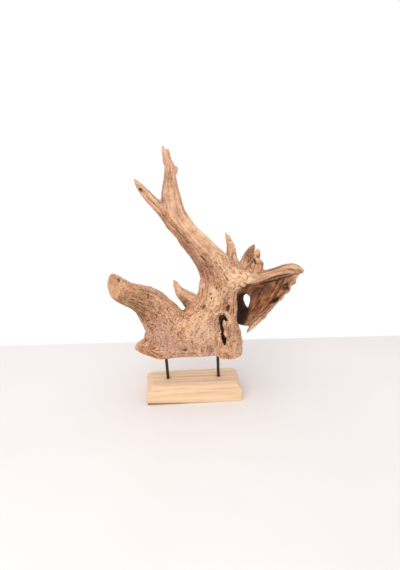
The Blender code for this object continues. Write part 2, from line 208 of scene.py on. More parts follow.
class GrainField:
    """The way of the fibres on a coarse grid around the root, as a product of directions."""

    def __init__(self, points):
        places, ways, sizes = grain_seeds()
        tree = KDTree(len(places))
        for k, place in enumerate(places):
            tree.insert(place, k)
        tree.balance()
        self.low = points.min(axis=0) - 3 * GRAIN_CELL
        self.shape = np.ceil((points.max(axis=0) - self.low) / GRAIN_CELL).astype(int) + 4
        self.values = np.zeros((*self.shape, 7))
        near = np.unique(((points - self.low) / GRAIN_CELL).round().astype(int), axis=0)
        reach = np.array([(i, j, k) for i in (-1, 0, 1) for j in (-1, 0, 1) for k in (-1, 0, 1)])
        cells = np.unique((near[:, None] + reach).reshape(-1, 3), axis=0)
        for cell in cells:
            found = tree.find_n(cell * GRAIN_CELL + self.low, GRAIN_NEIGHBOURS)
            which = np.array([f[1] for f in found])
            gap = np.array([f[2] for f in found])
            weight = np.exp(-(((gap - gap[0]) / GRAIN_REACH) ** 2))
            way = ways[which]
            product = np.einsum("n,ni,nj->ij", weight, way, way) / weight.sum()
            size = (weight * sizes[which]).sum() / weight.sum()
            self.values[tuple(cell)] = (*product[np.triu_indices(3)], size)

    def at(self, points):
        """The six products and the limb's size, between the grid's places."""
        spot = (points - self.low) / GRAIN_CELL
        cell = np.clip(np.floor(spot).astype(int), 0, self.shape - 2)
        t = spot - cell
        total = np.zeros((len(points), 7))
        for corner in range(8):
            step = np.array((corner & 1, corner >> 1 & 1, corner >> 2))
            weight = np.where(step, t, 1 - t).prod(axis=1)
            i, j, k = (cell + step).T
            total += weight[:, None] * self.values[i, j, k]
        return total

    def turn(self, points, ways):
        """Turns given directions into the fibres' own, keeping their sense."""
        a, b, c, d, e, f, _ = self.at(points).T
        x, y, z = ways.T
        for _ in range(3):
            x, y, z = a * x + b * y + c * z, b * x + d * y + e * z, c * x + e * y + f * z
            size = np.sqrt(x * x + y * y + z * z) + 1e-9
            x, y, z = x / size, y / size, z / size
        return np.stack((x, y, z), axis=1)


# A way that no limb lies square to, for the streaks to set out in.
STREAK_START = (0.28, 0.11, 0.95)


def drawn_streaks(points, field, kinds, step=2.4, seed=3):
    """Noise drawn out along the fibres, one field for each (lump size, reach) pair."""
    totals = [lattice_noise(points, size, seed + n) for n, (size, _) in enumerate(kinds)]
    longest = max(reach for _, reach in kinds)
    start = np.tile(STREAK_START, (len(points), 1))
    for sense in (1, -1):
        at, way = points.copy(), field.turn(points, sense * start)
        for k in range(1, int(longest / step) + 1):
            way = field.turn(at, way)
            at = at + way * step
            for n, (size, reach) in enumerate(kinds):
                if k * step <= reach:
                    fade = 1 - k * step / (reach + step)
                    totals[n] += fade * lattice_noise(at, size, seed + n)
    return [(t - t.mean()) / t.std() for t in totals]


def smoothed(values, edges, rounds, strength=0.5):
    """Averages values at the vertices over their neighbours."""
    values = np.array(values, float)
    first, second = edges.T
    count = np.bincount(first, minlength=len(values)) + np.bincount(second, minlength=len(values))
    count = np.maximum(count, 1)
    columns = values.reshape(len(values), -1)
    for _ in range(rounds):
        for n in range(columns.shape[1]):
            column = columns[:, n]
            around = np.bincount(first, column[second], len(column))
            around += np.bincount(second, column[first], len(column))
            columns[:, n] = column + strength * (around / count - column)
    return columns.reshape(values.shape)


def soft_step(values, low, high):
    """0 below low, 1 above high, and a soft rise between."""
    t = np.clip((values - low) / (high - low), 0, 1)
    return t * t * (3 - 2 * t)


def around_places(points, places):
    """How near each point is to any of the places (x, y, z, radius, strength), 0 to 1."""
    total = np.zeros(len(points))
    for x, y, z, radius, strength in places:
        gap = np.linalg.norm(points - (x, y, z), axis=1) / radius
        total = np.maximum(total, strength * (1 - soft_step(gap, 0.35, 1.0)))
    return total


# Saw cuts of the root: a place, the way that each looks, and how fresh its wood is.
SAW_CUTS = {
    "underside": ((0, 0, 0), (0, 0, -1), 0.7),
    "lobe": ((-106, -13, 3), (-0.60, -0.66, -0.45), 0.0),
    "stub": ((-176, -24, 181), (-0.82, -0.52, 0.24), 1.0),
}
SAW_REACH = 0.6

# How strongly a sawn face keeps flat what lies just beside it.
SAWN_CALM = 1.4

# How often the surface is averaged to tell its hollows from its rises.
HOLLOW_ROUNDS = 8

# Painted shade darkens a dent between these depths.
DARK_DENT = (1.2, 3.4)

# Between these heights the stub's sawn end is weathered again.
WEATHERED_TOP = (177, 189)

# Noise drawn out along the fibres, each as a lump size and a reach: broad flutes, fine
# fibres, dashes and flecks.
STREAKS = [(9.0, 55.0), (3.6, 34.0), (2.9, 10.0), (2.6, 5.0)]

# How far flutes, fibres and dashes lift the wood, how much more where it lies straight, and
# the least and most of each that counts.
STREAK_HEIGHTS = [(0.10, 0.25, -2.0, 1.4), (0.08, 0.25, -2.2, 1.4), (0.26, -0.08, -2.4, 1.6)]

# Lumps of the surface, of torn wood and of curled wood: size, seed and height.
LUMPS = [(24, 55, 0.8), (9, 56, 0.55), (4.5, 59, 0.3)]
TORN_LUMPS = [(11, 57, 3.2), (5, 58, 1.8)]
CURLS = [(15, 71, 1.6), (7, 72, 0.5)]

# Pits where a fleck is this low, and their depth.
PIT_FLECK = (1.4, 2.1)
PIT_DEPTH = 1.1

# The curled knobs: their height, and the level that they swell and sink about.
KNOB_HEIGHT = 3.4
KNOB_LEVEL = 0.8

# A limb this thick is worked least or in full, so that slender ones keep their outline.
SLENDER = (2.0, 16.0)
SLENDER_LEAST = 0.25

# Knobs of the shoulder, where the grain curls: middle, reach and height of the bosses.
SHOULDER_KNOBS = [
    (98, -30, 186, 58, 1.0), (60, -34, 205, 40, 0.6), (150, 0, 192, 34, 0.7),
    (120, -10, 200, 34, 0.8),
]

# Where the fibres lie long and straight, and where the wood is torn: place, reach, strength.
STRAIGHT_PLACES = [
    (10, 0, 262, 70, 0.8), (-30, 0, 320, 70, 0.9), (-48, 0, 400, 90, 0.8), (-90, 0, 370, 60, 0.9),
    (170, 36, 140, 90, 1.5), (120, 50, 100, 60, 1.2), (210, 0, 198, 70, 0.8),
    (170, 0, 192, 50, 0.8), (-20, 36, 130, 50, 0.5), (-135, -20, 150, 60, 0.35),
]
RAGGED_PLACES = [
    (152, 18, 222, 32, 1.4), (86, 36, 250, 34, 0.35), (200, 12, 120, 30, 0.6),
    (160, 6, 84, 30, 0.5), (66, -38, 82, 20, 0.6), (70, -40, 52, 22, 0.8),
]

# Holes and dents on the front as x, z, radius along x and z, depth, and lean in degrees.
DENTS = [
    (23, 126, 4, 8, 3.0, -25), (39, 157, 3.2, 5, 2.8, -10), (40, 147, 3, 4, 2.6, 0),
    (12, 76, 3, 4, 2, -20), (-19, 20, 6, 5, 3, 20), (-12, 96, 3, 5, 1.5, 30),
    (14, 104, 3, 4, 2, 0), (33, 96, 4, 3, 1.5, 0), (-103, 98, 5, 4, 2.5, 30),
    (-94, 88, 5, 3.5, 2.5, 30), (-164, 199, 5.2, 4.2, 5, -40), (-109, 394, 5, 3.5, 3, -35),
    (-79, 347, 2.4, 2.4, 2.5, 0), (-30, 342, 2, 2, 1, 0), (217, 151, 15, 5, 3.5, 52),
    (221, 145, 9, 3, 2.5, 8), (194, 117, 15, 4.5, 3.5, 34), (144, 217, 3.5, 9, 4, 24),
    (150, 227, 2.2, 5, 2.4, 10), (134, 204, 3, 4, 2.4, 30), (52, 172, 4, 4, 2, 0),
    (0, 60, 3, 4, 1.5, 20), (-46, 14, 4, 3, 1.5, 0), (88, 42, 4, 6, 2, 0), (80, 145, 4, 3, 2, 0),
    (-60, 96, 3, 4, 1.5, 30),
]

# Long drying cracks on the front as runs of (x, z), with half width, depth and darkness; the
# darkness is painted shade inside them.
CHECKS = [
    # The forked limb, from its prongs down to the shoulder.
    ([(-48, 352), (-47, 380), (-45, 404)], 0.9, 1.0, 0.35),
    ([(-98, 384), (-84, 366), (-70, 350)], 1.0, 1.4, 0.5),
    ([(-64, 343), (-60, 331), (-52, 320)], 0.9, 1.0, 0.5),
    ([(-52, 321), (-41, 311), (-31, 301), (-18, 287), (-4, 272)], 1.3, 2.0, 0.7),
    ([(-26, 318), (-10, 296), (6, 274), (22, 256)], 1.0, 1.2, 0.3),
    ([(-14, 262), (2, 246), (18, 230), (34, 214)], 1.1, 1.4, 0.4),
    ([(16, 248), (23, 241), (31, 233)], 1.7, 3.5, 0.9),
    ([(14, 206), (34, 188), (46, 170)], 1.0, 1.3, 0.4),
    ([(60, 214), (74, 196), (84, 178)], 1.0, 1.6, 0.6),
    # The stub, with the arc below its middle.
    ([(-150, 128), (-128, 112), (-112, 100)], 1.0, 1.5, 0.7),
    ([(-146, 150), (-124, 134), (-104, 118)], 0.9, 1.2, 0.7),
    ([(-101, 164), (-100, 158), (-101, 152)], 1.2, 1.8, 1.0),
    ([(-142, 158), (-136, 156), (-130, 152)], 1.1, 1.5, 0.9),
    ([(-124, 150), (-118, 147), (-112, 142)], 1.1, 1.5, 0.9),
    ([(-118, 116), (-112, 112), (-108, 106)], 1.3, 1.8, 1.0),
    ([(-99, 155), (-83, 148), (-75, 136), (-77, 123), (-89, 112), (-102, 109)], 0.9, 1.2, 0.6),
    # The ridge's two dark lines of painted shadow under its lip, the crease at its end, and the
    # border of the wing's rim.
    ([(132, 142), (145, 148), (163, 157), (185, 166), (206, 175), (222, 184)], 3.4, 2.6, 0.9),
    (
        [(141, 138), (160, 142), (178, 149), (197, 159), (215, 169), (231, 179), (243, 190)],
        2.2, 2.6, 0.9,
    ),
    ([(205, 204), (216, 205), (227, 202), (238, 194)], 1.3, 2.0, 0.6),
    ([(134, 53), (141, 64), (152, 77), (165, 88), (179, 101), (193, 112)], 2.2, 3.0, 0.9),
    # The foot: its fold, the lobe's saw marks, and the crease beside the hollow.
    ([(-54, 70), (-47, 83), (-37, 100)], 0.9, 1.3, 0.45),
    ([(-104, 22), (-94, 19), (-84, 15), (-74, 12)], 1.3, 1.6, 0.9),
    ([(96, 162), (93, 150), (93, 138), (92, 124), (92, 110)], 1.6, 2.4, 0.6),
    # Side cracks of the slit.
    ([(65, 70), (61, 66), (58, 60)], 1.3, 2.0, 0.9),
    ([(72, 52), (76, 48), (79, 42)], 1.4, 2.0, 0.9),
    ([(62, 90), (59, 85), (58, 79)], 1.2, 2.0, 0.9),
    ([(67, 44), (64, 40), (63, 34)], 1.2, 2.0, 0.9),
]

# How crack edges wander, as a lump size and a seed, and how wide they fade.
CRACK_WANDER = (5, 41)
CRACK_FADE = 1.1

# Rims that stand proud: over the slit's mouth, and along the ridge's lower front edge.
RIMS = [
    ([(50, 96), (50, 106), (57, 113), (67, 114), (77, 109), (83, 99)], 6, 2.2),
    ([(104, 160), (122, 171), (146, 181), (172, 188), (202, 197), (222, 197), (234, 187)], 4, 2.4),
]


# Rays for places on the front set out from here.
BEFORE_ROOT = -300

# A dent reaches this far through the wood, and its edge is this soft.
DENT_THROUGH = 14
DENT_EDGE = (0.3, 1.15)

# Steps between two points of a run, and how far round it points are looked for.
RUN_STEPS = 14
RUN_REACH = 10


def front_place(tree, x, z):
    """The point of the root's front at x, z, or none where there is none."""
    found = tree.ray_cast(Vector((x, BEFORE_ROOT, z)), Vector((0, 1, 0)))
    return None if found[0] is None else np.array(found[0])


def dent_depths(points, tree):
    """Round and leaning dents, pressed in with a soft edge."""
    depth = np.zeros(len(points))
    for x, z, wide, high, deep, lean in DENTS:
        middle = front_place(tree, x, z)
        if middle is None:
            continue
        gap = points - middle
        c, s = math.cos(math.radians(lean)), math.sin(math.radians(lean))
        a = (gap[:, 0] * c + gap[:, 2] * s) / wide
        b = (gap[:, 2] * c - gap[:, 0] * s) / high
        far = np.sqrt(a**2 + b**2 + (gap[:, 1] / DENT_THROUGH) ** 2)
        depth = np.maximum(depth, deep * (1 - soft_step(far, *DENT_EDGE)))
    return depth


def along_run(points, tree, run):
    """The points near a run of (x, z) on the front: which, how far off, and how far along."""
    line = [front_place(tree, x, z) for x, z in smooth_through(run, RUN_STEPS * len(run))]
    line = np.array([place for place in line if place is not None])
    low, high = line.min(axis=0) - RUN_REACH, line.max(axis=0) + RUN_REACH
    near = np.nonzero(((points > low) & (points < high)).all(axis=1))[0]
    gaps = np.linalg.norm(points[near][:, None] - line[None], axis=2)
    return near, gaps.min(axis=1), (gaps.argmin(axis=1) + 0.5) / len(line)


def check_depths(points, tree):
    """Cracks that open along the fibres: depth, and a mask for their painted shade."""
    depth = np.zeros(len(points))
    mask = np.zeros(len(points))
    for run, half, deep, darkness in CHECKS:
        near, gap, along = along_run(points, tree, run)
        taper = np.sin(np.pi * along) ** 0.5
        wander = 1 + 0.5 * lattice_noise(points[near], *CRACK_WANDER)
        edge = half * taper * wander + CRACK_FADE
        close = (1 - soft_step(gap, 0.3 * half, edge)) * taper
        depth[near] = np.maximum(depth[near], deep * close)
        mask[near] = np.maximum(mask[near], darkness * close)
    return depth, mask


def rim_heights(points, tree):
    """How far the rounded rims stand proud."""
    height = np.zeros(len(points))
    for run, half, rise in RIMS:
        near, gap, along = along_run(points, tree, run)
        proud = rise * (1 - soft_step(gap, 0.2 * half, half)) * np.sin(np.pi * along) ** 0.5
        height[near] = np.maximum(height[near], proud)
    return height


# The turn between one ray and the next that spreads them evenly, how far off the surface a
# ray sets out, and how much less a far wall shelters than a near one.
GOLDEN_TURN = math.pi * (3 - math.sqrt(5))
RAY_LIFT = 0.8
FAR_SHELTER = 0.6


def sheltered(points, normals, tree, reach=60.0, rays=12):
    """How far each point lies shut in, from 0 in the open to 1 deep in a hole."""
    helper = np.where(np.abs(normals[:, 2:]) < 0.9, (0.0, 0.0, 1.0), (1.0, 0.0, 0.0))
    first = np.cross(normals, helper)
    first /= np.linalg.norm(first, axis=1)[:, None]
    second = np.cross(normals, first)
    total = np.zeros(len(points))
    for k in range(rays):
        rise = (k + 0.5) / rays
        turn = k * GOLDEN_TURN
        lean = math.sqrt(1 - rise)
        ways = normals * math.sqrt(rise) + lean * (math.cos(turn) * first + math.sin(turn) * second)
        starts = points + ways * RAY_LIFT
        cast = tree.ray_cast
        for n, (start, way) in enumerate(zip(starts.tolist(), ways.tolist())):
            gap = cast(start, way, reach)[3]
            if gap is not None:
                total[n] += 1 - FAR_SHELTER * gap / reach
    return total / rays


def fine_copy(node, name):
    """A copy of a solid on a fine, even grid."""
    copy = bpy.data.objects.new(name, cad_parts[node].data.copy())
    bpy.context.scene.collection.objects.link(copy)
    fuse = copy.modifiers.new("fine_grid", "REMESH")
    fuse.mode = "VOXEL"
    fuse.voxel_size = ROOT_GRID * MM
    bpy.context.view_layer.update()
    graph = bpy.context.evaluated_depsgraph_get()
    mesh = bpy.data.meshes.new_from_object(copy.evaluated_get(graph))
    copy.modifiers.clear()
    copy.data = mesh
    return copy


def read_edges(mesh):
    """A mesh's edges as pairs of vertex numbers."""
    pairs = np.empty(len(mesh.edges) * 2, np.int32)
    mesh.edges.foreach_get("vertices", pairs)
    return pairs.reshape(-1, 2)


def write_points(mesh, points):
    """Moves a mesh's vertices to new places."""
    mesh.vertices.foreach_set("co", points.ravel())
    mesh.update()


def surface_tree(mesh, points):
    """The mesh's faces on the given points, for casting rays at."""
    faces = [tuple(polygon.vertices) for polygon in mesh.polygons]
    return BVHTree.FromPolygons([tuple(p) for p in points], faces)


def sawn_faces(points):
    """Which points lie on a sawn face, and how fresh its wood is."""
    sawn, fresh = np.zeros(len(points)), np.zeros(len(points))
    for at, way, freshness in SAW_CUTS.values():
        way = np.array(way) / np.linalg.norm(way)
        cut = np.abs((points - at) @ way) < SAW_REACH
        sawn[cut], fresh[cut] = 1.0, freshness
    return sawn, fresh * (1 - soft_step(points[:, 2], *WEATHERED_TOP))


def summed_lumps(points, lumps):
    """Noise of several lump sizes in one."""
    return sum(height * lattice_noise(points, size, seed) for size, seed, height in lumps)


def worked_height(points, thick, straight, streaks, pits):
    """How far weathering lifts or sinks the wood: fibres, lumps, pits, knobs and tears."""
    rise = summed_lumps(points, LUMPS) - PIT_DEPTH * pits
    for streak, (height, more, least, most) in zip(streaks, STREAK_HEIGHTS):
        rise += (height + more * straight) * np.clip(streak, least, most)
    knobs = around_places(points, SHOULDER_KNOBS)
    slanted = points * (1.0, 0.8, 1.0) + points[:, 2:] * (0.55, 0, -0.1)
    curls = sum(height * np.abs(lattice_noise(slanted, size, seed)) for size, seed, height in CURLS)
    rise = rise * (1 - 0.5 * knobs) + knobs * KNOB_HEIGHT * (curls - KNOB_LEVEL)
    rise *= soft_step(thick, *SLENDER) * (1 - SLENDER_LEAST) + SLENDER_LEAST
    return rise + around_places(points, RAGGED_PLACES) * summed_lumps(points, TORN_LUMPS)


def tone_masks(points, normals, straight, rims):
    """How rosy, orange, pale, olive, brown and dark the wood is at each point; pale and brown are
    partly painted light and shade, and dark is painted shadow.
    """
    broad, small = (lattice_noise(points, size, seed) for size, seed in TONE_PATCHES)
    masks = {}
    for tone, (level, more_broad, more_small, places) in TONES.items():
        mask = around_places(points, places)
        if tone == "rosy":
            strays = STRAY_ROSY * soft_step(broad + small, *STRAY_PATCH)
            mask = np.maximum(mask, strays)
        masks[tone] = np.clip(mask * (level + more_broad * broad + more_small * small), 0, 1)
    # A painted highlight along the proud rims.
    masks["pale"] = np.maximum(masks["pale"], 0.9 * soft_step(rims, *PALE_RIM))
    warm = STRAY_ORANGE * soft_step(-broad - small, 0.15, 0.9) * (1 - soft_step(straight, 0.2, 0.9))
    masks["orange"] = np.maximum(masks["orange"], warm)
    # The painted shadow stays in the wing's hollow alone, and the wing's back is as pale as the
    # rest.
    masks["dark"] *= 1 - soft_step(normals[:, 1], 0.2, 0.7)
    return masks


def weathered_root():
    """The root worked finely: fluted, knobbed, pitted and cracked along its grain."""
    root = fine_copy("teak_root", "weathered_root")
    mesh = root.data
    underside = (0, 0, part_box("teak_root")[0][2] / MM)
    points = read_points(mesh) / MM - underside
    edges = read_edges(mesh)
    sawn, fresh = sawn_faces(points)
    worn = 1 - sawn[:, None]
    for _ in range(SMOOTHING_ROUNDS):
        points += (smoothed(points, edges, 1, SMOOTH_IN) - points) * worn
        points -= (smoothed(points, edges, 1, SMOOTH_OUT) - points) * worn
    write_points(mesh, points)
    normals = read_points(mesh, "normal")
    tree = surface_tree(mesh, points)

    field = GrainField(points)
    broad, fine, dash, fleck = drawn_streaks(points, field, STREAKS)
    straight = around_places(points, STRAIGHT_PLACES)
    pits = soft_step(-fleck, *PIT_FLECK) * (1 - soft_step(straight, 0.0, 0.6))
    dents = dent_depths(points, tree)
    checks, crack_shade_mask = check_depths(points, tree)
    rims = rim_heights(points, tree)
    rise = worked_height(points, field.at(points)[:, 6], straight, (broad, fine, dash), pits)
    rise += rims - dents - checks
    flat = smoothed(sawn, edges, 2)
    points += normals * (rise * (1 - np.clip(flat * SAWN_CALM, 0, 1)))[:, None]
    # How hollow the surface is, for painted shade in hollows and a painted highlight on rises.
    hollow = ((smoothed(points, edges, HOLLOW_ROUNDS) - points) * normals).sum(axis=1)
    write_points(mesh, (points + underside) * MM)

    tone = tone_masks(points, normals, straight, rims)
    # Painted shade: how shut in each point is, for the material to darken holes and hollows.
    shelter = smoothed(sheltered(points, normals, surface_tree(mesh, points)), edges, 2)
    even = 0.35 + 0.65 * straight
    calm = np.minimum(np.maximum(straight, flat), 1)
    # Painted shade in the cracks and in the deeper dents.
    cracks = np.maximum(crack_shade_mask, 0.9 * soft_step(dents, *DARK_DENT))
    # For the material: hollow, shelter, cracks and the dark tone become painted shade, the rises a
    # painted highlight, and pale and brown hold painted light and shade in part.
    put_vector(mesh, "streaks", even * broad, even * fine, dash)
    put_vector(mesh, "tones", tone["rosy"], tone["orange"], tone["pale"])
    put_vector(mesh, "shades", tone["olive"], tone["brown"], tone["dark"])
    put_vector(mesh, "painted_shading_and_pits", hollow, shelter, pits)
    put_vector(mesh, "marks", cracks, smoothed(fresh, edges, 1), calm)
    mesh.shade_smooth()
    return root


def put_vector(mesh, name, *columns):
    """Stores three values for each vertex, for the material to read."""
    layer = mesh.attributes.new(name, "FLOAT_VECTOR", "POINT")
    layer.data.foreach_set("vector", np.stack(columns, axis=1).astype(np.float32).ravel())


# Patches of tone: lump size and seed of the broad and of the small ones.
TONE_PATCHES = [(30, 91), (11, 92)]

# Rosy and orange wood that strays all over the root: how strong, and in which patches.
STRAY_ROSY = 0.35
STRAY_PATCH = (0.1, 0.9)
STRAY_ORANGE = 0.5

# A rim as proud as this gets a pale painted highlight.
PALE_RIM = (1.0, 2.3)

# Tones of the wood: how strong each is, how much the broad and the small patches vary it,
# and its places as x, y, z, radius, strength.
TONES = {
    "rosy": (0.75, 0.50, 0.60, [
        (-70, -34, 50, 52, 0.9), (-20, -36, 24, 46, 0.85), (-45, -10, 380, 60, 0.5),
        (30, -36, 14, 40, 0.7), (-92, -35, 92, 40, 0.8), (75, -30, 165, 30, 0.4),
        (-30, 38, 140, 50, 0.3), (90, 34, 250, 40, 0.4), (40, -32, 200, 40, 0.4),
        (-60, -30, 10, 40, 0.5), (150, -10, 190, 34, 0.5), (190, -10, 196, 40, 0.4),
        (228, -4, 200, 30, 0.4), (-90, -30, 84, 30, 0.9), (-178, -24, 204, 30, 1.0),
        (-56, -6, 417, 20, 0.9), (-59, -7, 391, 20, 0.9), (-61, -6, 364, 22, 0.9),
        (-54, -6, 445, 20, 0.8), (80, 40, 274, 26, 0.3), (-42, 40, 166, 20, 0.9),
        (-120, -12, 414, 22, 0.8), (-58, -2, 482, 26, 0.6), (148, 50, 240, 22, 0.9),
        (-34, -16, 300, 20, 0.8), (-18, -20, 284, 22, 0.8), (0, -25, 266, 24, 0.8),
        (16, -28, 248, 24, 0.8), (34, -32, 230, 24, 0.8), (46, -36, 214, 24, 0.8),
        (-96, -10, 169, 26, 0.7), (-73, -5, 156, 26, 0.7), (76, -40, 70, 22, 0.9),
        (184, 8, 104, 18, 1.0), (168, 6, 90, 16, 1.0), (194, 8, 114, 14, 1.0),
    ]),
    "orange": (0.85, 0.0, 0.30, [
        (180, 40, 140, 90, 1.0), (140, 52, 110, 70, 1.0), (215, 14, 145, 40, 0.9),
        (150, 18, 215, 34, 0.8), (-120, -10, 16, 18, 1.0), (-104, -22, 12, 18, 1.0),
        (-90, -30, 9, 16, 1.0), (-75, -36, 6, 14, 0.9),
    ]),
    # Partly painted light along the lit upper right side of the forked limb, partly pale wood.
    "pale": (0.80, 0.40, 0.30, [
        (10, -40, 70, 60, 0.7), (30, -14, 285, 44, 0.9), (0, -12, 318, 30, 0.8),
        (60, -40, 150, 40, 0.5), (105, -36, 192, 54, 1.3), (-26, 34, 146, 24, 0.9),
        (85, -44, 60, 40, 0.4), (148, 6, 72, 18, 0.8), (136, 10, 54, 18, 0.8),
        (229, 14, 152, 9, 1.0), (-44, 36, 160, 40, 0.6), (86, 34, 262, 30, 1.0),
        (50, -14, 260, 36, 0.7), (-10, 34, 130, 40, 0.9), (90, 30, 232, 34, 1.0),
    ]),
    "olive": (0.85, 0.0, 0.30, [
        (-120, -30, 142, 52, 1.0), (-150, -30, 160, 36, 0.9), (-100, -30, 120, 34, 0.6),
    ]),
    # Partly painted shade along the lower left side of the forked limb and under the ridge, partly
    # brown wood.
    "brown": (0.80, 0.35, 0.40, [
        (-56, -8, 326, 22, 0.6), (-44, -12, 306, 26, 0.65), (-46, -8, 392, 30, 0.3),
        (-28, -14, 286, 30, 0.9), (-14, -18, 266, 32, 0.9), (0, -22, 246, 34, 1.0),
        (14, -24, 228, 34, 1.0), (18, -27, 250, 30, 1.0), (28, -28, 210, 32, 1.1),
        (38, -32, 194, 26, 0.9), (158, 44, 150, 17, 1.2), (180, 36, 160, 17, 1.2),
        (200, 26, 168, 17, 1.2), (220, 12, 178, 17, 1.2), (238, -4, 186, 15, 1.0),
        (92, -38, 48, 30, 0.4), (138, 42, 230, 26, 1.2), (150, 60, 118, 30, 1.0),
        (136, 44, 222, 36, 1.2), (-116, -24, 112, 34, 0.8), (-100, -30, 96, 30, 0.8),
        (110, -28, 160, 24, 0.4), (160, 48, 150, 50, 1.0), (200, 24, 160, 36, 0.5),
        (78, -38, 72, 14, 0.7), (145, 52, 110, 40, 0.7), (118, 20, 160, 30, 0.7),
        (165, -12, 192, 44, 0.6), (205, -12, 200, 44, 0.6), (244, 0, 196, 24, 0.5),
    ]),
    # Painted shadow in the wing's hollow and other holes, and a little under the forked limb.
    "dark": (1.0, 0.0, 0.25, [
        (115, 55, 105, 34, 1.0), (120, 54, 76, 32, 1.0), (122, 44, 58, 26, 0.9),
        (104, 30, 96, 40, 1.0), (104, 30, 126, 26, 0.6), (140, 48, 146, 18, 0.4),
        (156, 58, 124, 26, 0.45), (178, 46, 136, 30, 0.5), (20, -28, 226, 30, 0.18),
        (34, -32, 205, 26, 0.15), (138, 44, 230, 26, 0.35), (184, 6, 100, 12, 0.35),
        (168, 4, 86, 12, 0.35), (156, 2, 76, 10, 0.3), (196, 6, 112, 10, 0.35),
        (222, 18, 152, 9, 0.9), (216, 22, 143, 8, 0.8), (186, 21, 109, 9, 0.7),
        (194, 21, 113, 10, 0.9), (202, 20, 119, 8, 0.8), (142, 12, 214, 9, 0.5),
    ]),
}


# Materials.


def linear(colour):
    """An sRGB hex colour as linear light."""
    parts = [int(colour[k:k + 2], 16) / 255 for k in (1, 3, 5)]
    return (*(c / 12.92 if c <= 0.04045 else ((c + 0.055) / 1.055) ** 2.4 for c in parts), 1.0)


def new_material(name):
    """An empty material: its nodes, and its shader."""
    material = bpy.data.materials.new(name)
    material.use_nodes = True
    tree = material.node_tree
    return material, tree, tree.nodes["Principled BSDF"]


def add(tree, kind, inputs, give=0, stops=(), **settings):
    """Adds a node with its settings and links, and gives one of its outputs.

    An input is a socket, a value or a hex colour; stops are a ramp's (place, hex) pairs.
    """
    node = tree.nodes.new("ShaderNode" + kind)
    for name, value in settings.items():
        setattr(node, name, value)
    for name, value in inputs.items():
        if isinstance(value, bpy.types.NodeSocket):
            tree.links.new(value, node.inputs[name])
        else:
            node.inputs[name].default_value = linear(value) if isinstance(value, str) else value
    for number, (place, colour) in enumerate(stops):
        if number > 1:
            node.color_ramp.elements.new(1.0)
        node.color_ramp.elements[number].position = place
        node.color_ramp.elements[number].color = linear(colour)
    return node.outputs[give]


